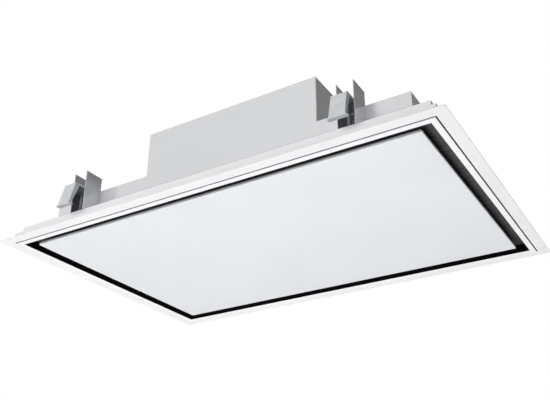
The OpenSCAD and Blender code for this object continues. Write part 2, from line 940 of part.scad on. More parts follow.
module stator() {
    color("peru")
    difference() {
        post([fan_x, fan_y, stator_z], motor_r - can_t - fixed_gap, stator_h);
        post([fan_x, fan_y, stator_z - cut], stator_in_r, stator_h + 2 * cut);
    }
}

module motor_can() {
    top = motor_z + motor_h;
    color("silver")
    difference() {
        translate([fan_x, fan_y, 0])
        union() {
            difference() {
                post([0, 0, motor_z], motor_r, motor_h);
                post([0, 0, motor_z + can_t], motor_r - can_t, motor_h - 2 * can_t);
            }
            post([0, 0, motor_z], boss_r, boss_h);
            post([0, 0, bearing_high_z], boss_r, top - bearing_high_z);
        }
        post([fan_x, fan_y, motor_z - cut], boss_hole_r, boss_h);
        post([fan_x, fan_y, bearing_low_z], bearing_r + fixed_gap, boss_h);
        post([fan_x, fan_y, bearing_high_z - cut], bearing_r + fixed_gap, bearing_h + cut + fixed_gap);
        post([cable_drop_x, fan_y, top - can_t - cut], cable_r + cable_hole_gap, can_t + 2 * cut);
        at_motor_screws()
            post([0, 0, top - can_t - cut], motor_screw_r + fixed_gap, can_t + 2 * cut);
    }
}

module bearing(z) {
    color("silver")
    difference() {
        post([fan_x, fan_y, z], bearing_r, bearing_h);
        post([fan_x, fan_y, z - cut], shaft_r + running_gap, bearing_h + 2 * cut);
    }
}

module motor_screws() {
    color("silver")
    at_motor_screws() {
        post([0, 0, scroll_lid_z - can_t - casing_t], motor_screw_r, can_t + 2 * casing_t);
        post([0, 0, scroll_roof], motor_screw_head_r, motor_screw_head_h);
    }
}

// The cable's straight runs with round corners, from the control housing's wall to inside the motor
module motor_cable() {
    route = [[control_right, cable_y, cable_low_z], [cable_x, cable_y, cable_low_z],
        [cable_x, cable_y, cable_high_z], [cable_x, fan_y, cable_high_z],
        [cable_drop_x, fan_y, cable_high_z], [cable_drop_x, fan_y, scroll_lid_z - can_t]];
    color("black")
    union() {
        for (i = [0 : len(route) - 2])
            straight_run(route[i], route[i + 1]);
        for (i = [1 : len(route) - 2])
            translate(route[i])
            sphere(r = cable_r);
    }
}

// A round rod between two points that differ along one axis
module straight_run(a, b) {
    step = b - a;
    run = norm(step);
    translate(a)
    rotate([0, acos(step[2] / run), atan2(step[1], step[0])])
    cylinder(r = cable_r, h = run);
}

module cable_grommet() {
    neck = grommet_r - grommet_lip;
    bore = cable_r + cable_hole_gap / 2;
    color("black")
    translate([cable_x, cable_y, 0])
    rotate_extrude()
    polygon([[bore, deck_z - grommet_lip], [grommet_r, deck_z - grommet_lip], [grommet_r, deck_z],
        [neck, deck_z], [neck, body_top], [grommet_r, body_top], [grommet_r, body_top + grommet_lip],
        [bore, body_top + grommet_lip]]);
}

// Places of the screws round the outlet spigot, on the motor box's rear face
module at_spigot_screws() {
    side = spigot_w / 2 + spigot_rim_w / 2;
    for (x = [-side, side])
        for (z = [spigot_low + spigot_rim_w, spigot_high - spigot_rim_w])
            translate([spigot_x + x, box_rear, z])
            children();
}

module outlet_spigot() {
    half = spigot_w / 2;
    color("gainsboro")
    difference() {
        union() {
            block([spigot_x - half - spigot_rim_w, box_rear, spigot_low],
                [spigot_x + half + spigot_rim_w, box_rear + spigot_t, spigot_high + spigot_rim_w - spigot_t]);
            block([spigot_x - half, box_rear, spigot_low],
                [spigot_x + half, box_rear + spigot_len, spigot_high]);
        }
        difference() {
            block([spigot_x - half + spigot_t, box_rear - cut, spigot_low + spigot_t],
                [spigot_x + half - spigot_t, box_rear + spigot_len + cut, spigot_high - spigot_t]);
            block([spigot_x - half, damper_y - damper_t / 2 - stop_gap - stop_t, spigot_low],
                [spigot_x + half, damper_y - damper_t / 2 - stop_gap, spigot_low + spigot_t + stop_h]);
        }
        translate([spigot_x, damper_y, damper_z])
        along_x(damper_pin_r + running_gap, spigot_w + 2 * cut);
        at_spigot_screws()
            rotate([90, 0, 0])
            cylinder(r = spigot_screw_r + fixed_gap, h = 2 * spigot_t + cut, center = true);
    }
}

module spigot_screws() {
    color("silver")
    at_spigot_screws()
        rotate([-90, 0, 0]) {
            post([0, 0, spigot_t - spigot_screw_len], spigot_screw_r, spigot_screw_len);
            post([0, 0, spigot_t], spigot_screw_head_r, spigot_screw_head_h);
        }
}

module damper_flap() {
    half = spigot_w / 2 - spigot_t - damper_side_gap;
    low = spigot_low + spigot_t + damper_low_gap;
    color("gray")
    translate([spigot_x, damper_y, 0])
    difference() {
        union() {
            translate([0, 0, damper_z])
            along_x(damper_barrel_r, 2 * half);
            block([-half, -damper_t / 2, low], [half, damper_t / 2, damper_z]);
        }
        translate([0, 0, damper_z])
        along_x(damper_pin_r + fixed_gap, 2 * half + 2 * cut);
    }
}

module damper_pin() {
    color("silver")
    translate([spigot_x, damper_y, damper_z])
    along_x(damper_pin_r, spigot_w + 2 * spigot_t);
}

// A cylinder along Y through the body's rear wall at the cable gland
module gland_hole() {
    translate([gland_x, control_back, gland_z])
    rotate([90, 0, 0])
    cylinder(r = gland_body_r + fixed_gap, h = 4 * sheet_t + 2 * control_wall, center = true);
}

module control_housing() {
    color("darkslategray")
    difference() {
        union() {
            difference() {
                block([control_left, control_front, deck_z - control_h],
                    [control_right, control_back, deck_z]);
                block([control_left + control_wall, control_front + control_wall,
                    deck_z - control_h - cut],
                    [control_right - control_wall, control_back - control_wall,
                    deck_z - control_wall]);
            }
            for (x = [control_left + post_inset, control_right - post_inset])
                for (y = [control_front + post_inset, control_back - post_inset - 2 * post_r])
                    post([x, y, board_z + board_t], post_r, deck_z - board_z - board_t);
        }
        gland_hole();
        translate([control_right, cable_y, cable_low_z])
        along_x(cable_r + cable_hole_gap, 4 * control_wall);
    }
}

module control_lid() {
    color("darkslategray")
    block([control_left, control_front, lid_z], [control_right, control_back, lid_z + lid_t]);
}

module control_board() {
    inner = control_wall + board_gap;
    color("darkgreen")
    block([control_left + inner, control_front + inner, board_z],
        [control_right - inner, control_back - inner - post_r, board_z + board_t]);
}

// Motor capacitor, terminal block and choke, all under the board
module board_parts() {
    color("slategray") {
        translate([control_x + capacitor_x, control_back - capacitor_y_back, board_z - capacitor_r])
        rotate([-90, 0, 0])
        cylinder(r = capacitor_r, h = capacitor_len);
        block([control_x - terminal_w / 2, control_back - terminal_back - terminal_d, board_z - terminal_h],
            [control_x + terminal_w / 2, control_back - terminal_back, board_z]);
        block([control_x - choke_x - choke_w / 2, control_back - choke_back - choke_d, board_z - choke_h],
            [control_x - choke_x + choke_w / 2, control_back - choke_back, board_z]);
    }
}

module cable_gland() {
    inner = control_back - control_wall - gland_nut_h;
    color("black")
    difference() {
        union() {
            translate([gland_x, inner, gland_z])
            rotate([-90, 0, 0])
            cylinder(r = gland_body_r, h = body_y + gland_hex_h - inner);
            translate([gland_x, inner, gland_z])
            rotate([-90, 0, 0])
            cylinder(r = gland_hex_r, h = gland_nut_h, $fn = 6);
            translate([gland_x, body_y, gland_z])
            rotate([-90, 0, 0])
            cylinder(r = gland_hex_r, h = gland_hex_h, $fn = 6);
            translate([gland_x, body_y + gland_hex_h, gland_z])
            rotate([-90, 0, 0])
            cylinder(r = gland_dome_r, h = gland_dome_h);
        }
        translate([gland_x, inner - cut, gland_z])
        rotate([-90, 0, 0])
        cylinder(r = gland_bore_r, h = body_y + gland_hex_h + gland_dome_h - inner + 2 * cut);
    }
}

ceiling_flange();
rim_frame();
groove_seal();
gap_liner();
pan();
inner_tray();
body_shell();
front_sheet();
motor_cover();
shell_screws();
hanger_plates();
panel_glass();
panel_tray();
panel_ears();
panel_strikes();
hinge_brackets();
hinge_pins();
catch_magnets();
filter_frame(-1);  // filter_frame_left
filter_frame(1);  // filter_frame_right
filter_mesh(-1);  // filter_mesh_left
filter_mesh(1);  // filter_mesh_right
latch_case(-1);  // latch_case_left
latch_case(1);  // latch_case_right
filter_latch(-1);  // filter_latch_left
filter_latch(1);  // filter_latch_right
clamp_channels();
claw(-1, -1);  // claw_front_left
claw(1, -1);  // claw_front_right
claw(-1, 1);  // claw_back_left
claw(1, 1);  // claw_back_right
clamp_screw(-1, -1);  // clamp_screw_front_left
clamp_screw(1, -1);  // clamp_screw_front_right
clamp_screw(-1, 1);  // clamp_screw_back_left
clamp_screw(1, 1);  // clamp_screw_back_right
inlet_ring();
scroll_base();
scroll_wall();
scroll_top();
fan_wheel();
motor_shaft();
rotor_core();
stator();
motor_can();
bearing(bearing_low_z);  // bearing_lower
bearing(bearing_high_z);  // bearing_upper
motor_screws();
motor_cable();
cable_grommet();
outlet_spigot();
spigot_screws();
damper_flap();
damper_pin();
control_housing();
control_lid();
control_board();
board_parts();
cable_gland();
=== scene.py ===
# %% [markdown]
# # A ceiling range hood
# The hood hangs flush in a kitchen ceiling. A white glass panel leaves an air gap all round, a stepped
# frame covers the edge of the cut-out, and the motor box and the clamps lie above the ceiling. This
# lesson takes the CAD model as it is, gives each piece the surface of the real one, and models again the
# pieces whose folds, rounded edges, wire or threads the CAD model leaves out. Sizes of the hood are
# written in millimetres, those of the studio in metres.

# %% Load the CAD model
import json
import math
import bmesh
import bpy
from mathutils import Matrix, Vector

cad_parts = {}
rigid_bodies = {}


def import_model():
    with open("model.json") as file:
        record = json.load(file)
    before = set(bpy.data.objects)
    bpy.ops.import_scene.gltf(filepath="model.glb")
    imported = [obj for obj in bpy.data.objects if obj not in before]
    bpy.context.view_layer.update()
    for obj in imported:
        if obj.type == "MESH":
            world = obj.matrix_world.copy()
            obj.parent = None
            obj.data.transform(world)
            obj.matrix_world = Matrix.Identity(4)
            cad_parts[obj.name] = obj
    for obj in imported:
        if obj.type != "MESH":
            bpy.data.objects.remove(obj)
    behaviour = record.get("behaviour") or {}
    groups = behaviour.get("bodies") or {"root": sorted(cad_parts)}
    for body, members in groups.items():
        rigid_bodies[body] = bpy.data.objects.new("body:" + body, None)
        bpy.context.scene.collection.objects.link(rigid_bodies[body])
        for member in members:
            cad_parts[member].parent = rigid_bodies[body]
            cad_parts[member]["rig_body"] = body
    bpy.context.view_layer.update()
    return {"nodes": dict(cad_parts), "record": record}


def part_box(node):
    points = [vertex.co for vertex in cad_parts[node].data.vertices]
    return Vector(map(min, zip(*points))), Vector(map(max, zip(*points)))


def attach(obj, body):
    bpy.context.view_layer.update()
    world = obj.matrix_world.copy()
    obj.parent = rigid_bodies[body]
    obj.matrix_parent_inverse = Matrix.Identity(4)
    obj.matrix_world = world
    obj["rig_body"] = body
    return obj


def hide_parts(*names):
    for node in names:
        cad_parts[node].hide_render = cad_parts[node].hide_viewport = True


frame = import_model()
MM = 0.001

# %% [markdown]
# ## Tools for the surfaces
# A surface is a small tree of shader nodes. Colours are looked up as hex values, as a paint chart gives
# them, and turned by the sRGB formula to the linear values that light is reckoned in. One function adds
# any node, with its settings and its links, so that each recipe below stays a short list.

# %% Colour and node tools
def linear(hex_code):
    parts = [int(hex_code[i:i + 2], 16) / 255 for i in (1, 3, 5)]
    return [p / 12.92 if p <= 0.04045 else ((p + 0.055) / 1.055) ** 2.4 for p in parts] + [1.0]


def add_node(tree, kind, inputs=None, **settings):
    node = tree.nodes.new(kind)
    for name, value in settings.items():
        setattr(node, name, value)
    for socket, value in (inputs or {}).items():
        if isinstance(value, bpy.types.NodeSocket):
            tree.links.new(value, node.inputs[socket])
        else:
            node.inputs[socket].default_value = value
    return node

# %% [markdown]
# Every finish starts the same way: the shader gets its plain colour, roughness and metal share on its own
# sockets, and the patterns are laid over them later. Patterns read Object coordinates, so they stay on a
# piece when it moves.

# %% Start of a finish
finishes = {}


def start_finish(slot_name, name, base, roughness, metallic=0.0):
    material = bpy.data.materials.new(name)
    material.use_nodes = True
    tree = material.node_tree
    shader = tree.nodes["Principled BSDF"]
    shader.inputs["Base Color"].default_value = linear(base)
    shader.inputs["Roughness"].default_value = roughness
    shader.inputs["Metallic"].default_value = metallic
    finishes[slot_name] = material
    return tree, shader, add_node(tree, "ShaderNodeTexCoord").outputs["Object"]

# %% [markdown]
# Three uses of a pattern come back in most recipes: it shifts the colour between two close tones, it
# makes the gloss uneven, and it raises the surface a little. Noise seldom leaves the middle of its range,
# so that middle is spread over the whole change. The Mix node has one set of sockets for each kind of
# data, all with the same names, so its colour sockets are picked by number.

# %% What a pattern does to a surface
NOISE_SPAN = (0.3, 0.7)
MIX_SHARE = 0
MIX_DARK = 6
MIX_LIGHT = 7
MIX_RESULT = 2


def per_metre(size_mm):
    return 1 / (size_mm * MM)


def two_tone(tree, shader, pattern, dark, light, span=NOISE_SPAN):
    share = add_node(tree, "ShaderNodeMapRange", {"Value": pattern, "From Min": span[0],
                                                  "From Max": span[1]})
    tones = add_node(tree, "ShaderNodeMix", {MIX_SHARE: share.outputs["Result"], MIX_DARK: linear(dark),
                                             MIX_LIGHT: linear(light)}, data_type="RGBA")
    tree.links.new(tones.outputs[MIX_RESULT], shader.inputs["Base Color"])


def uneven_gloss(tree, shader, pattern, low, high):
    share = add_node(tree, "ShaderNodeMapRange", {"Value": pattern, "From Min": NOISE_SPAN[0],
                                                  "From Max": NOISE_SPAN[1], "To Min": low, "To Max": high})
    tree.links.new(share.outputs["Result"], shader.inputs["Roughness"])


def relief(tree, shader, pattern, height_mm):
    bump = add_node(tree, "ShaderNodeBump", {"Height": pattern, "Distance": height_mm * MM, "Strength": 1.0})
    tree.links.new(bump.outputs["Normal"], shader.inputs["Normal"])

# %% [markdown]
# ## Powder-coated steel: rim, flange and steps
# The frame is folded steel sheet with a white powder coat. Baked powder flows into a faint orange peel,
# about 2 mm from crest to crest. It is drawn at 3 mm here, since a finer one wouldn't show. The coat
# scatters light evenly and has a soft sheen, so the roughness stays near 0.4. The rim is a purer white
# than the flange. Each row gives the name, the darker and the lighter tone, and the roughness.

# %% White powder coats
PEEL_MM = 3.0
PEEL_HEIGHT = 0.02
COAT_CLOUD_MM = 90.0
COAT_CLOUD_SPAN = (0.35, 0.65)
COAT_SPREAD = 0.04
WHITE_COATS = {
    "white_face": ("White powder-coated steel rim", "#eeeef0", "#f2f2f4", 0.34),
    "flange_paint": ("Off-white powder-coated steel", "#e6e6e8", "#eaeaec", 0.40),
}
for slot_name, (name, dark, light, gloss) in WHITE_COATS.items():
    tree, shader, place = start_finish(slot_name, name, light, gloss)
    cloud = add_node(tree, "ShaderNodeTexNoise", {"Vector": place, "Scale": per_metre(COAT_CLOUD_MM)})
    peel = add_node(tree, "ShaderNodeTexNoise", {"Vector": place, "Scale": per_metre(PEEL_MM),
                                                 "Detail": 1.0})
    two_tone(tree, shader, cloud.outputs["Fac"], dark, light, COAT_CLOUD_SPAN)
    uneven_gloss(tree, shader, peel.outputs["Fac"], gloss - COAT_SPREAD, gloss + COAT_SPREAD)
    relief(tree, shader, peel.outputs["Fac"], PEEL_HEIGHT)
print("coats", sorted(finishes))

# %% [markdown]
# ## Bright sheet of the body
# The body and the motor box stay hidden above the ceiling, so they are left as bare galvanised sheet. Its
# zinc is rolled smooth: no crystals show, only long cloudy patches and a fine grain, which is drawn at
# 1.6 mm because the real one wouldn't show. The sheet mirrors the clamps and the studio beside it, but a
# thin oxide also scatters light, so it is half metal and half matt.

# %% Galvanised body sheet
ROLLING_MM = 160.0
ROLLING_STRETCH = (0.35, 1.0, 1.0)
GRAIN_MM = 1.6
GRAIN_HEIGHT = 0.0015
SHEET_GLOSS = (0.17, 0.23)
tree, shader, place = start_finish("shell_sheet", "Bright galvanised steel sheet", "#d5d6d8",
                                   roughness=0.20, metallic=0.5)
stretch = add_node(tree, "ShaderNodeMapping", {"Vector": place, "Scale": ROLLING_STRETCH})
rolling = add_node(tree, "ShaderNodeTexNoise", {"Vector": stretch.outputs["Vector"],
                                                "Scale": per_metre(ROLLING_MM), "Detail": 3.0})
grain = add_node(tree, "ShaderNodeTexNoise", {"Vector": place, "Scale": per_metre(GRAIN_MM),
                                              "Detail": 2.0})
two_tone(tree, shader, rolling.outputs["Fac"], "#d3d4d6", "#d9dadc")
uneven_gloss(tree, shader, grain.outputs["Fac"], *SHEET_GLOSS)
relief(tree, shader, grain.outputs["Fac"], GRAIN_HEIGHT)
print("body sheet", len(tree.nodes), "nodes")

# %% [markdown]
# ## Galvanised steel of the channels
# Hot-dip zinc freezes in flat crystals, the spangle, each of which mirrors the light a little
# differently. A Voronoi pattern gives one value per cell, which is what a crystal needs. The spangles
# are small here, about 5 mm. The body's wall shows in the channels' legs as in a dull mirror, so they get
# a larger metal share than the wall.

# %% Spangled zinc
SPANGLE_MM = 5.0
SPANGLE_HEIGHT = 0.002
SPANGLE_SPAN = (0.0, 1.0)
ZINC_CLOUD_MM = 40.0
ZINC_GLOSS = (0.15, 0.21)
tree, shader, place = start_finish("galvanised", "Spangled galvanised steel sheet", "#cccdd1",
                                   roughness=0.18, metallic=0.8)
spangle = add_node(tree, "ShaderNodeTexVoronoi", {"Vector": place, "Scale": per_metre(SPANGLE_MM)})
cloud = add_node(tree, "ShaderNodeTexNoise", {"Vector": place, "Scale": per_metre(ZINC_CLOUD_MM),
                                              "Detail": 3.0})
two_tone(tree, shader, spangle.outputs["Color"], "#c9cacf", "#d2d3d6", SPANGLE_SPAN)
uneven_gloss(tree, shader, cloud.outputs["Fac"], *ZINC_GLOSS)
relief(tree, shader, spangle.outputs["Distance"], SPANGLE_HEIGHT)
print("spangled zinc", len(tree.nodes), "nodes")

# %% [markdown]
# ## Plated steel of the claws and fittings
# The claws, screws and pins are plated with zinc in a bath, which leaves no crystals but a fine satin
# grain. It is drawn at 1.2 mm, much coarser than it is, so that it shows. The claws have a paler, duller
# coat than the fittings, so they get a smaller metal share.

# %% Zinc plating
PLATING_MM = 1.2
PLATING_HEIGHT = 0.01
PLATING_CLOUD_MM = 25.0
PLATING_SPREAD = 0.06
PLATED = {
    "zinc_plate": ("Bright zinc-plated claw steel", "#c3c6c8", "#d2d4d6", 0.34, 0.55),
    "steel": ("Zinc-plated steel fittings", "#a3a6a9", "#b9bcbf", 0.30, 1.0),
}
for slot_name, (name, dark, light, gloss, metallic) in PLATED.items():
    tree, shader, place = start_finish(slot_name, name, light, gloss, metallic)
    satin = add_node(tree, "ShaderNodeTexNoise", {"Vector": place, "Scale": per_metre(PLATING_MM),
                                                  "Detail": 2.0})
    cloud = add_node(tree, "ShaderNodeTexNoise", {"Vector": place, "Scale": per_metre(PLATING_CLOUD_MM)})
    two_tone(tree, shader, cloud.outputs["Fac"], dark, light)
    uneven_gloss(tree, shader, satin.outputs["Fac"], gloss - PLATING_SPREAD, gloss + PLATING_SPREAD)
    relief(tree, shader, satin.outputs["Fac"], PLATING_HEIGHT)
print("plated", sorted(PLATED))

# %% [markdown]
# ## Brushed sheet and aluminium
# The plate over the air gap is brushed steel. Its dark colour is partly the steel's own tone and partly
# painted shade, standing for the shade deep inside the air gap. Brushing leaves scratches along one
# direction, so the noise is squeezed 60 times across them. That makes them 0.75 mm wide, as coarse as they
# need to be to show. The filters are bare aluminium, with a softer grain along Y. After the roughness, each
# row gives the metal share and how much the noise is squeezed along X, Y and Z.

# %% Brushed metals
SCRATCH_MM = 45.0
SCRATCH_HEIGHT = 0.008
SCRATCH_SPREAD = 0.08
BRUSHED = {
    # the dark tones of tray_steel are partly the steel's own and partly painted shade of the air gap
    "tray_steel": ("Brushed steel with painted gap shade", "#4b4c4d", "#68696b", 0.30, 0.6, (1.0, 60.0, 60.0)),
    "aluminium": ("Mill-finish aluminium", "#a9abad", "#c4c6c8", 0.38, 1.0, (40.0, 1.0, 40.0)),
}
for slot_name, (name, dark, light, gloss, metallic, across) in BRUSHED.items():
    tree, shader, place = start_finish(slot_name, name, light, gloss, metallic)
    along = add_node(tree, "ShaderNodeMapping", {"Vector": place, "Scale": across})
    scratch = add_node(tree, "ShaderNodeTexNoise", {"Vector": along.outputs["Vector"],
                                                    "Scale": per_metre(SCRATCH_MM), "Detail": 4.0})
    two_tone(tree, shader, scratch.outputs["Fac"], dark, light)
    uneven_gloss(tree, shader, scratch.outputs["Fac"], gloss - SCRATCH_SPREAD, gloss + SCRATCH_SPREAD)
    relief(tree, shader, scratch.outputs["Fac"], SCRATCH_HEIGHT)
print("brushed", sorted(BRUSHED))

# %% [markdown]
# ## Back-painted glass
# The panel is float glass, painted white on its upper face. The eye sees the paint through clear glass,
# so the surface is a pale, faintly blue white under a smooth, mirror-like skin. Real clear glass over
# paint would need long light paths, so light is let a few millimetres into a white body instead. A very
# slight cloud stands for the unevenness of the paint behind the glass.

# %% White glass
PAINT_CLOUD_MM = 220.0
GLASS_GLOSS = (0.06, 0.09)
GLASS_IOR = 1.52
GLASS_DEPTH = 6.0
tree, shader, place = start_finish("white_glass", "Back-painted white glass", "#e6e8ec", roughness=0.07)
cloud = add_node(tree, "ShaderNodeTexNoise", {"Vector": place, "Scale": per_metre(PAINT_CLOUD_MM)})
two_tone(tree, shader, cloud.outputs["Fac"], "#e4e6ea", "#e8eaee")
uneven_gloss(tree, shader, cloud.outputs["Fac"], *GLASS_GLOSS)
shader.inputs["IOR"].default_value = GLASS_IOR
shader.inputs["Subsurface Weight"].default_value = 1.0
shader.inputs["Subsurface Radius"].default_value = (1.0, 1.0, 1.0)
shader.inputs["Subsurface Scale"].default_value = GLASS_DEPTH * MM
print("glass", GLASS_DEPTH, "mm deep")

# %% [markdown]
# ## Black paint, plastics, rubber, copper, board and magnets
# These small pieces differ in how rough they are and how coarse their grain is. Moulded plastic copies
# the spark-eroded grain of its mould, about 0.6 mm, drawn twice as coarse so that it shows. Rubber is
# smooth and dull, and the fine grain on the copper stands for its turns of wire. The paint in the air gap
# is dead matt: it should swallow the light, so its mirror share comes down as well. The last two numbers
# of a row are the size and the height of the grain.

# %% Dark and small finishes
SMALL_SPREAD = 0.05
DEAD_MATT = 0.1
SMALL = {
    "black_paint": ("Matt black paint", "#060607", "#0b0b0c", 0.66, 0.0, 2.0, 0.01),
    "black_plastic": ("Moulded black nylon", "#19191a", "#222223", 0.50, 0.0, 1.2, 0.03),
    "grey_plastic": ("Moulded grey plastic", "#57595c", "#626467", 0.48, 0.0, 1.2, 0.03),
    "black_rubber": ("Black rubber", "#161616", "#1d1d1d", 0.68, 0.0, 3.0, 0.01),
    "copper": ("Enamelled copper wire", "#8f4a26", "#c5713f", 0.32, 1.0, 0.9, 0.08),
    "board_green": ("Green circuit board", "#0f4a2a", "#1b6a3e", 0.28, 0.0, 4.0, 0.01),
    "magnet": ("Dark ferrite", "#232325", "#2f2f32", 0.55, 0.1, 2.5, 0.02),
}
for slot_name, (name, dark, light, gloss, metallic, grain_mm, height_mm) in SMALL.items():
    tree, shader, place = start_finish(slot_name, name, light, gloss, metallic)
    grain = add_node(tree, "ShaderNodeTexNoise", {"Vector": place, "Scale": per_metre(grain_mm),
                                                  "Detail": 2.0})
    two_tone(tree, shader, grain.outputs["Fac"], dark, light)
    uneven_gloss(tree, shader, grain.outputs["Fac"], gloss - SMALL_SPREAD, gloss + SMALL_SPREAD)
    relief(tree, shader, grain.outputs["Fac"], height_mm)
    if slot_name == "black_paint":
        shader.inputs["Specular IOR Level"].default_value = DEAD_MATT
print("finishes", len(finishes))

# %% [markdown]
# ## Dress the CAD pieces
# The CAD record says which material each node is made of. Every node gets that finish, also the ones that
# a finer piece replaces further down.

# %% Finish of every CAD node
slot_of = {part["node"]: part["material_slot"] for part in frame["record"]["subparts"]}
for node_name, node in frame["nodes"].items():
    node.data.materials.clear()
    node.data.materials.append(finishes[slot_of[node_name]])
print("dressed", len(slot_of))

# %% [markdown]
# ## Tools for the shapes
# A CAD node is a cloud of loose triangles with knife edges. Real sheet is folded, so each fold has a
# radius, and a sheared edge is broken too. A copy of the node is merged to flat faces, and bevels then
# round its folds. The copy keeps every size of the node, because a bevel cuts or fills corners and leaves
# the flat faces where they are. Curved walls are left alone: their facets meet at flatter angles than a
# fold does. So are small details, whose edges are shorter.

# %% Merge and fold
WELD_MM = 0.002
FLAT_DEG = 1
FOLD_DEG = 40


def merged_copy(node_name):
    mesh = bmesh.new()
    mesh.from_mesh(frame["nodes"][node_name].data)
    bmesh.ops.remove_doubles(mesh, verts=mesh.verts, dist=WELD_MM * MM)
    bmesh.ops.dissolve_limit(mesh, angle_limit=math.radians(FLAT_DEG), verts=mesh.verts, edges=mesh.edges)
    return mesh


def round_edges(mesh, radius_mm, segments=2, shortest_mm=6.0, chosen=None):
    edges = [e for e in mesh.edges if len(e.link_faces) == 2
             and e.calc_face_angle(0.0) > math.radians(FOLD_DEG) and e.calc_length() > shortest_mm * MM
             and (chosen is None or chosen((e.verts[0].co + e.verts[1].co) / 2 / MM))]
    made = bmesh.ops.bevel(mesh, geom=edges, offset=radius_mm * MM, offset_type="OFFSET", affect="EDGES",
                           segments=segments, profile=0.5, material=-1, clamp_overlap=True)
    for face in made["faces"]:
        face.smooth = True

# %% [markdown]
# A finished mesh becomes an object that rides on the body of the node that it stands for, so that it
# moves with the joints.

# %% Hand a piece over
def place_piece(mesh, name, slot_name, body, *replaced):
    data = bpy.data.meshes.new(name)
    mesh.to_mesh(data)
    mesh.free()
    data.materials.append(finishes[slot_name])
    piece = bpy.data.objects.new(name, data)
    bpy.context.scene.collection.objects.link(piece)
    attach(piece, body)
    if replaced:
        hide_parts(*replaced)
    print(name, len(data.polygons), "faces")


def body_of(node_name):
    return frame["nodes"][node_name]["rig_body"]

# %% [markdown]
# ## Frames with mitred corners
# Flange, rim and black liner are long folded strips, cut at 45 degrees and joined at the corners. The
# section of the strip is drawn once at a corner and spun round in four steps, which mitres it by itself.
# That makes a square frame, whose two ends then slide apart to the real width.

# %% One frame from its section
flange_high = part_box("ceiling_flange")[1]
HALF_W = flange_high.x / MM
HALF_D = flange_high.y / MM


def mitred_frame(section):
    mesh = bmesh.new()
    corners = [mesh.verts.new(Vector((HALF_D - inset, -(HALF_D - inset), height)) * MM)
               for inset, height in section]
    loop = [mesh.edges.new((a, b)) for a, b in zip(corners, corners[1:] + corners[:1])]
    bmesh.ops.spin(mesh, geom=corners + loop, cent=(0, 0, 0), axis=(0, 0, 1), angle=2 * math.pi, steps=4,
                   use_merge=True, use_duplicate=False)
    bmesh.ops.remove_doubles(mesh, verts=mesh.verts, dist=WELD_MM * MM)
    for side in (-1, 1):
        bmesh.ops.translate(mesh, verts=[v for v in mesh.verts if v.co.x * side > 0],
                            vec=(side * (HALF_W - HALF_D) * MM, 0, 0))
    bmesh.ops.recalc_face_normals(mesh, faces=mesh.faces)
    return mesh


print("flange", 2 * HALF_W, "by", 2 * HALF_D, "mm")

# %% [markdown]
# A section lists its points as the inset from the flange's outer edge and the height. The flange turns up
# to the lower step, which ends in a short shelf. The rim turns up to the wall of the air gap, and the
# liner is a thin black strip inside that wall.

# %% Flange, rim and liner
SHEET = 1.5
FLANGE_FOLD = 0.25
FLANGE_TO = 20.3
STEP_FROM = 18.3
STEP_TOP = 18.5
SHELF_TO = 28.5
flange = mitred_frame([(0, -SHEET), (FLANGE_TO, -SHEET), (FLANGE_TO, 0), (STEP_FROM + SHEET, 0),
                       (STEP_FROM + SHEET, STEP_TOP - SHEET), (SHELF_TO, STEP_TOP - SHEET),
                       (SHELF_TO, STEP_TOP), (STEP_FROM, STEP_TOP), (STEP_FROM, 0), (0, 0)])
round_edges(flange, FLANGE_FOLD)
place_piece(flange, "flange_folded", "flange_paint", "hood", "ceiling_flange")

RIM_FOLD = 0.2
RIM_FROM = 22.5
RIM_TO = 32.6
RIM_LOW = -2.5
RIM_WALL_TO = 31.5
RIM_TOP = 14.5
rim = mitred_frame([(RIM_FROM, RIM_LOW), (RIM_TO, RIM_LOW), (RIM_TO, RIM_LOW + SHEET),
                    (RIM_WALL_TO, RIM_LOW + SHEET), (RIM_WALL_TO, RIM_TOP), (RIM_WALL_TO - SHEET, RIM_TOP),
                    (RIM_WALL_TO - SHEET, RIM_LOW + SHEET), (RIM_FROM, RIM_LOW + SHEET)])
round_edges(rim, RIM_FOLD)
place_piece(rim, "rim_folded", "white_face", "hood", "rim_frame")

LINER = 1.0
LINER_FOLD = 0.3
LINER_LOW = -2.2
liner = mitred_frame([(RIM_TO, LINER_LOW), (RIM_TO + LINER, LINER_LOW), (RIM_TO + LINER, RIM_TOP),
                      (RIM_WALL_TO, RIM_TOP), (RIM_WALL_TO, RIM_TOP - LINER), (RIM_TO, RIM_TOP - LINER)])
round_edges(liner, LINER_FOLD)
place_piece(liner, "liner_folded", "black_paint", "hood", "gap_liner")

# %% [markdown]
# ## Body, motor box, pan and brackets
# Most of these are folded from sheet too. A fold is as round as the sheet is thick, at most, and a
# sheared or moulded edge is broken by a few tenths. One radius per piece, in millimetres, serves both.

# %% Folded boxes
FOLD_RADII = {
    "pan": 0.7, "body_shell": 0.7, "front_sheet": 0.6, "motor_cover": 0.7, "outlet_spigot": 0.5,
    "panel_tray": 0.45, "inner_tray": 0.4, "filter_frame_left": 0.4, "filter_frame_right": 0.4,
    "control_housing": 0.6, "hanger_plates": 0.6, "catch_magnets": 0.5, "panel_strikes": 0.4,
    "hinge_brackets": 0.4, "panel_ears": 0.4,
}
for node_name, radius in FOLD_RADII.items():
    folded = merged_copy(node_name)
    round_edges(folded, radius)
    place_piece(folded, node_name + "_folded", slot_of[node_name], body_of(node_name), node_name)

# %% [markdown]
# ## The glass panel
# Polished float glass has a small ground seam along each edge, which catches a thin line of light. A cube
# is stretched over the CAD panel's box. Its upright corners are rounded first, and then every edge is
# ground.

# %% Glass panel
CORNER_RADIUS = 2.5
GROUND_SEAM = 1.0
CORNER_FACET = 0.4


def box_between(low, high):
    mesh = bmesh.new()
    bmesh.ops.create_cube(mesh, size=1.0)
    bmesh.ops.scale(mesh, verts=mesh.verts, vec=high - low)
    bmesh.ops.translate(mesh, verts=mesh.verts, vec=(low + high) / 2)
    return mesh


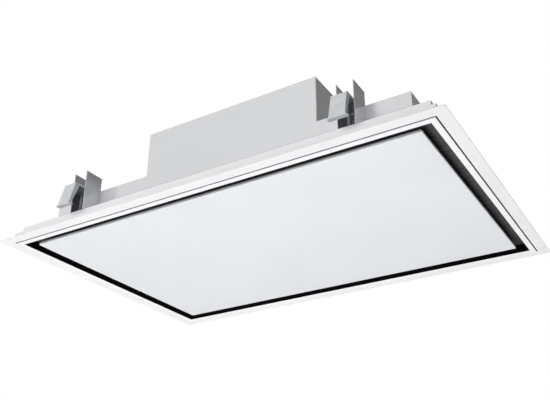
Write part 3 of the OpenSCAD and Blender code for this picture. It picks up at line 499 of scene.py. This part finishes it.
glass = box_between(*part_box("panel_glass"))
upright = [e for e in glass.edges if abs(e.verts[0].co.z - e.verts[1].co.z) > MM]
bmesh.ops.bevel(glass, geom=upright, offset=CORNER_RADIUS * MM, offset_type="OFFSET", affect="EDGES",
                segments=5, profile=0.5, material=-1, clamp_overlap=True)
round_edges(glass, GROUND_SEAM, segments=3, shortest_mm=CORNER_FACET)
place_piece(glass, "panel_glass_ground", "white_glass", "panel", "panel_glass")

# %% [markdown]
# ## Clamp channels and claws
# Four claws hold the hood in the ceiling. Each is folded from strip: a top plate on the screw, a slanted
# front with narrow side lips, and a foot. The fold between top and front is bent wide, the others are
# tight. The channels that the claws run in are folded from one strip too.

# %% Channels and claws
CHANNEL_EDGE = 0.5
TOP_FOLD = 2.6
TOP_FOLD_Y = 292
TOP_FOLD_NEAR = 1.2
TOP_FOLD_ABOVE = 83
CLAW_EDGE = 0.35
CLAW_SHORTEST = 3.0


def is_top_fold(middle):
    return abs(abs(middle.y) - TOP_FOLD_Y) < TOP_FOLD_NEAR and middle.z > TOP_FOLD_ABOVE


channels = merged_copy("clamp_channels")
round_edges(channels, CHANNEL_EDGE)
place_piece(channels, "channels_folded", "galvanised", "hood", "clamp_channels")
for end in ("front", "back"):
    for side in ("left", "right"):
        node_name = f"claw_{end}_{side}"
        claw = merged_copy(node_name)
        round_edges(claw, TOP_FOLD, segments=5, chosen=is_top_fold)
        round_edges(claw, CLAW_EDGE, shortest_mm=CLAW_SHORTEST)
        place_piece(claw, node_name + "_folded", "zinc_plate", body_of(node_name), node_name)

# %% [markdown]
# ## Clamp screws
# A screw's thread is a small ridge that climbs one pitch in each turn. The spin operator climbs as it
# turns, so one three-sided ridge makes the whole thread. The ridge sinks a little into the core, which
# stays a plain cylinder.

# %% Tools for the screws
THREAD_R = 3.0
CORE_R = 2.45
PITCH = 1.0
TURN_STEPS = 12
RIDGE_SUNK = 0.15
RIDGE_FOOT = (0.05, 0.9)
RIDGE_CREST = 0.45
ROUND_SIDES = 32


def thread_ridge(mesh, axis, low, high):
    turns = int((high - low) / PITCH)
    section = [(CORE_R - RIDGE_SUNK, RIDGE_FOOT[0]), (THREAD_R, RIDGE_CREST),
               (CORE_R - RIDGE_SUNK, RIDGE_FOOT[1])]
    start = [mesh.verts.new(Vector((axis.x / MM + r, axis.y / MM, low + z)) * MM) for r, z in section]
    mesh.faces.new(start)
    edges = [mesh.edges.get((a, b)) for a, b in zip(start, start[1:] + start[:1])]
    climb = (0, 0, PITCH / TURN_STEPS * MM)
    grown = bmesh.ops.spin(mesh, geom=start + edges, cent=axis, axis=(0, 0, 1), angle=2 * math.pi * turns,
                           steps=turns * TURN_STEPS, dvec=climb, use_duplicate=False, use_merge=False)
    mesh.faces.new([v for v in grown["geom_last"] if isinstance(v, bmesh.types.BMVert)])


def add_cylinder(mesh, axis, radius, low, high):
    made = bmesh.ops.create_cone(mesh, cap_ends=True, segments=ROUND_SIDES, radius1=radius * MM,
                                 radius2=radius * MM, depth=(high - low) * MM)
    bmesh.ops.translate(mesh, verts=made["verts"], vec=(axis.x, axis.y, (low + high) / 2 * MM))
    return made["verts"]

# %% [markdown]
# The head looks down and has a socket for a key, which is inset in its underside and pushed up. The
# collar keeps the screw in its channel. The thread starts above the shank and stops short of the tip.

# %% Threaded screws
SCREW_X = 284
SCREW_Y = 260
SHANK_R = 2.98
SHANK_TOP = 38.5
COLLAR_R = 5.0
COLLAR_LOW = 35.3
COLLAR_HIGH = 37.0
HEAD_R = 5.5
HEAD_HEIGHT = 4.5
SOCKET_INSET = 2.6
SOCKET_DEPTH = 2.2
CORE_SUNK = 3.0
BARE_TIP = 1.5
OVERLAP = 0.1
FLAT_END = 0.9


def threaded_screw(axis, low, high):
    screw = bmesh.new()
    thread_ridge(screw, axis, SHANK_TOP, high - BARE_TIP)
    add_cylinder(screw, axis, CORE_R, low + CORE_SUNK, high)
    add_cylinder(screw, axis, SHANK_R, low + CORE_SUNK, SHANK_TOP + OVERLAP)
    add_cylinder(screw, axis, COLLAR_R, COLLAR_LOW, COLLAR_HIGH)
    head = add_cylinder(screw, axis, HEAD_R, low, low + HEAD_HEIGHT)
    underside = min((f for f in screw.faces if f.verts[0] in head), key=lambda f: f.calc_center_median().z)
    bmesh.ops.inset_region(screw, faces=[underside], thickness=SOCKET_INSET * MM)
    bmesh.ops.translate(screw, verts=underside.verts, vec=(0, 0, SOCKET_DEPTH * MM))
    bmesh.ops.recalc_face_normals(screw, faces=screw.faces)
    for face in screw.faces:
        face.smooth = abs(face.normal.z) < FLAT_END
    return screw


for end, y in (("front", -SCREW_Y), ("back", SCREW_Y)):
    for side, x in (("left", -SCREW_X), ("right", SCREW_X)):
        node_name = f"clamp_screw_{end}_{side}"
        low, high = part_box(node_name)
        screw = threaded_screw(Vector((x, y, 0)) * MM, low.z / MM, high.z / MM)
        place_piece(screw, node_name + "_threaded", "steel", body_of(node_name), node_name)

# %% [markdown]
# ## Grease filters
# A cassette filter is a stack of expanded aluminium mesh: sheet that is slit and pulled open to diamonds.
# A grid whose squares are poked and whose own lines are then dissolved leaves diamonds, and the wireframe
# operator turns their edges to strands. A picture on a flat plate would be quicker, but strands catch
# light and grease from every side.

# %% Expanded metal
def expanded_layer(mesh, low, high, cell, strand, height):
    size = (high - low) / MM
    columns = int(size.x / cell[0])
    rows = int(size.y / cell[1])
    before = set(mesh.verts)
    made = bmesh.ops.create_grid(mesh, x_segments=columns, y_segments=rows, size=0.5)
    bmesh.ops.scale(mesh, verts=made["verts"], vec=(high.x - low.x, high.y - low.y, 1))
    bmesh.ops.translate(mesh, verts=made["verts"],
                        vec=((low.x + high.x) / 2, (low.y + high.y) / 2, height * MM))
    squares = [f for f in mesh.faces if f.verts[0] not in before]
    lines = [e for e in mesh.edges if e.verts[0] not in before and not e.is_boundary]
    bmesh.ops.poke(mesh, faces=squares)
    bmesh.ops.dissolve_edges(mesh, edges=lines, use_verts=False)
    diamonds = [f for f in mesh.faces if f.verts[0] not in before]
    bmesh.ops.wireframe(mesh, faces=diamonds, thickness=strand * MM, use_even_offset=True, use_boundary=True,
                        use_replace=True)

# %% [markdown]
# Between two such layers lies a pleated foil. Every second line of a narrow grid goes up and the others
# go down, and the foil then gets its thickness.

# %% Pleated foil
PLEAT = 5.0
PLEAT_RISE = 2.2
FOIL = 0.2


def pleated_foil(mesh, low, high, height):
    folds = int((high.x - low.x) / MM / PLEAT) * 2
    made = bmesh.ops.create_grid(mesh, x_segments=folds, y_segments=1, size=0.5)
    bmesh.ops.scale(mesh, verts=made["verts"], vec=(high.x - low.x, high.y - low.y, 1))
    bmesh.ops.translate(mesh, verts=made["verts"],
                        vec=((low.x + high.x) / 2, (low.y + high.y) / 2, height * MM))
    step = (high.x - low.x) / folds
    for vert in made["verts"]:
        fold = round((vert.co.x - low.x) / step)
        vert.co.z += (PLEAT_RISE / 2 if fold % 2 else -PLEAT_RISE / 2) * MM
    own = set(made["verts"])
    foil = [f for f in mesh.faces if f.verts[0] in own]
    bmesh.ops.solidify(mesh, geom=foil, thickness=FOIL * MM)

# %% [markdown]
# The latch sits in a notch at the front of each cassette. The layers are cut away round it, and the foil
# is laid in three strips that leave it out.

# %% Filter cassettes
LOWER_CELL = (11.0, 7.0)
LOWER_STRAND = 0.8
UPPER_CELL = (8.0, 9.5)
UPPER_STRAND = 0.7
LAYER_OFFSET = 2.4
CASE_GAP = 1.0 * MM
for side in ("left", "right"):
    node_name = f"filter_mesh_{side}"
    low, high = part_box(node_name)
    middle = (low.z + high.z) / 2 / MM
    layers = bmesh.new()
    expanded_layer(layers, low, high, LOWER_CELL, LOWER_STRAND, middle - LAYER_OFFSET)
    expanded_layer(layers, low, high, UPPER_CELL, UPPER_STRAND, middle + LAYER_OFFSET)
    case_low, case_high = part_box(f"latch_case_{side}")
    notch_from = case_low.x - CASE_GAP
    notch_to = case_high.x + CASE_GAP
    notch_back = case_high.y + CASE_GAP
    hidden = [v for v in layers.verts if notch_from < v.co.x < notch_to and v.co.y < notch_back]
    bmesh.ops.delete(layers, geom=hidden, context="VERTS")
    bmesh.ops.holes_fill(layers, edges=[e for e in layers.edges if e.is_boundary], sides=0)
    pleated_foil(layers, Vector((low.x, notch_back, 0)), high, middle)
    pleated_foil(layers, low, Vector((notch_from, notch_back, 0)), middle)
    pleated_foil(layers, Vector((notch_to, low.y, 0)), Vector((high.x, notch_back, 0)), middle)
    bmesh.ops.recalc_face_normals(layers, faces=layers.faces)
    place_piece(layers, node_name + "_expanded", "aluminium", "hood", node_name)

# %% [markdown]
# ## Camera
# The camera looks up at the hood from the right of its front edge. Its place and lens come from fitting
# the corners of the flange, the rim and the panel, which is surer than placing it by eye.

# %% Camera
CAMERA_AT = (703.57, -1158.83, -598.94)
YAW = math.radians(30.95)
PITCH_UP = math.radians(27.36)
SENSOR_MM = 36.0
LENS_MM = 49.36
LENS_SHIFT = -0.0147
NEAREST = 10
level = math.cos(PITCH_UP)
forward = Vector((-math.sin(YAW) * level, math.cos(YAW) * level, math.sin(PITCH_UP)))
right = Vector((math.cos(YAW), math.sin(YAW), 0))
turn = Matrix((right, right.cross(forward), -forward)).transposed()
lens = bpy.data.cameras.new("photo_camera")
lens.sensor_width = SENSOR_MM
lens.lens = LENS_MM
lens.shift_x = LENS_SHIFT
lens.clip_start = NEAREST * MM
camera = bpy.data.objects.new("photo_camera", lens)
camera.matrix_world = Matrix.Translation(Vector(CAMERA_AT) * MM) @ turn.to_4x4()
bpy.context.scene.collection.objects.link(camera)
bpy.context.scene.camera = camera
print("camera at", CAMERA_AT)

# %% [markdown]
# ## Floor
# The hood hangs at ceiling height over a pale matt floor, which throws light back up to the underside.
# More lamplight would also make the ground pale, but it would burn out the white frame. So the floor glows
# a little instead, to the camera alone.

# %% Floor
FLOOR_Z = -2.4
FLOOR_ACROSS = 16.0
FLOOR_GLOW = 0.62


def studio_sheet(name, across, matrix):
    mesh = bmesh.new()
    bmesh.ops.create_grid(mesh, x_segments=1, y_segments=1, size=across / 2)
    bmesh.ops.transform(mesh, verts=mesh.verts, matrix=matrix)
    data = bpy.data.meshes.new(name)
    mesh.to_mesh(data)
    mesh.free()
    sheet = bpy.data.objects.new(name, data)
    bpy.context.scene.collection.objects.link(sheet)
    data.materials.append(finishes[name])
    return sheet


tree, shader = start_finish("studio_floor", "Pale matt floor", "#e6e6e6", roughness=0.8)[:2]
seen = add_node(tree, "ShaderNodeLightPath")
glow = add_node(tree, "ShaderNodeMath", {0: seen.outputs["Is Camera Ray"], 1: FLOOR_GLOW},
                operation="MULTIPLY")
shader.inputs["Emission Color"].default_value = linear("#ffffff")
tree.links.new(glow.outputs[0], shader.inputs["Emission Strength"])
floor_piece = studio_sheet("studio_floor", FLOOR_ACROSS, Matrix.Translation((0, 0, FLOOR_Z)))
print("floor at", FLOOR_Z, "m")

# %% [markdown]
# ## Grey card
# The hood's faces that look right are bright sheet too, and yet they are dark to the eye, because they
# mirror something dark. So a matt grey card stands far off to the right and behind, where the camera
# doesn't see it.

# %% Grey card
CARD_AT = (2.2, 1.9, 1.6)
CARD_ACROSS = 3.0
start_finish("studio_card", "Matt grey card", "#9b9b9b", roughness=0.9)
facing = (-Vector(CARD_AT)).to_track_quat("Z", "Y").to_matrix().to_4x4()
card_piece = studio_sheet("studio_card", CARD_ACROSS, Matrix.Translation(Vector(CARD_AT)) @ facing)
card_piece.visible_camera = False
print("card at", CARD_AT)

# %% [markdown]
# ## Lamps
# Five large lamps stand where a studio has them: one under the hood that lights its white underside, two
# in front, and two at the back left. The far right gets little light. The lamps in front and behind would
# burn bright spots into the open panel's tray, so reflections don't see them. Each row gives the place,
# the point that the lamp faces, its width and height, and its power in watts.

# %% Lamps
LAMPS = {
    "underside_lamp": ((-0.45, 0.1, -2.2), (-0.35, 0.05, 0), (2.2, 2.2), 42),
    "front_lamp": ((-0.9, -3.4, 0.5), (0, 0, 0.05), (1.3, 1.8), 60),
    "low_front_lamp": ((0.25, -3.0, -1.7), (0.1, -0.2, 0), (1.2, 1.0), 40),
    "rear_lamp": ((-0.9, 1.8, 2.4), (0, 0, 0.1), (2.0, 2.0), 60),
    "back_lamp": ((-0.8, 3.4, 0.3), (0, 0, 0), (1.6, 1.6), 40),
}


def add_lamp(name, at, towards, size, watts):
    light = bpy.data.lights.new(name, "AREA")
    light.shape = "RECTANGLE"
    light.size, light.size_y = size
    light.energy = watts
    lamp = bpy.data.objects.new(name, light)
    lamp.location = at
    lamp.rotation_euler = (Vector(towards) - Vector(at)).to_track_quat("-Z", "Y").to_euler()
    lamp.visible_camera = False
    bpy.context.scene.collection.objects.link(lamp)
    return lamp


lamps = [add_lamp(name, *setting) for name, setting in LAMPS.items()]
for lamp in lamps[1:]:
    lamp.visible_glossy = False
print("lamps", [lamp.name for lamp in lamps])

# %% [markdown]
# ## World
# The camera and the reflections see a plain white room. As light on the hood the room is much weaker, so
# that a colour renders about as it is written.

# %% World
AMBIENT = 0.10
ROOM_WHITE = 1.0
world = bpy.data.worlds.new("studio")
bpy.context.scene.world = world
world.use_nodes = True
tree = world.node_tree
tree.nodes.clear()
rays = add_node(tree, "ShaderNodeLightPath")
mirrored = add_node(tree, "ShaderNodeMath", {0: rays.outputs["Is Glossy Ray"],
                                             1: rays.outputs["Is Transmission Ray"]}, operation="MAXIMUM")
seen = add_node(tree, "ShaderNodeMath", {0: rays.outputs["Is Camera Ray"], 1: mirrored.outputs[0]},
                operation="MAXIMUM")
ambient = add_node(tree, "ShaderNodeBackground", {"Color": linear("#ffffff"), "Strength": AMBIENT})
white = add_node(tree, "ShaderNodeBackground", {"Color": linear("#ffffff"), "Strength": ROOM_WHITE})
mixed = add_node(tree, "ShaderNodeMixShader", {0: seen.outputs[0], 1: ambient.outputs[0],
                                               2: white.outputs[0]})
add_node(tree, "ShaderNodeOutputWorld", {"Surface": mixed.outputs[0]})
bpy.context.scene.view_settings.view_transform = "Standard"
print("world", len(tree.nodes), "nodes")
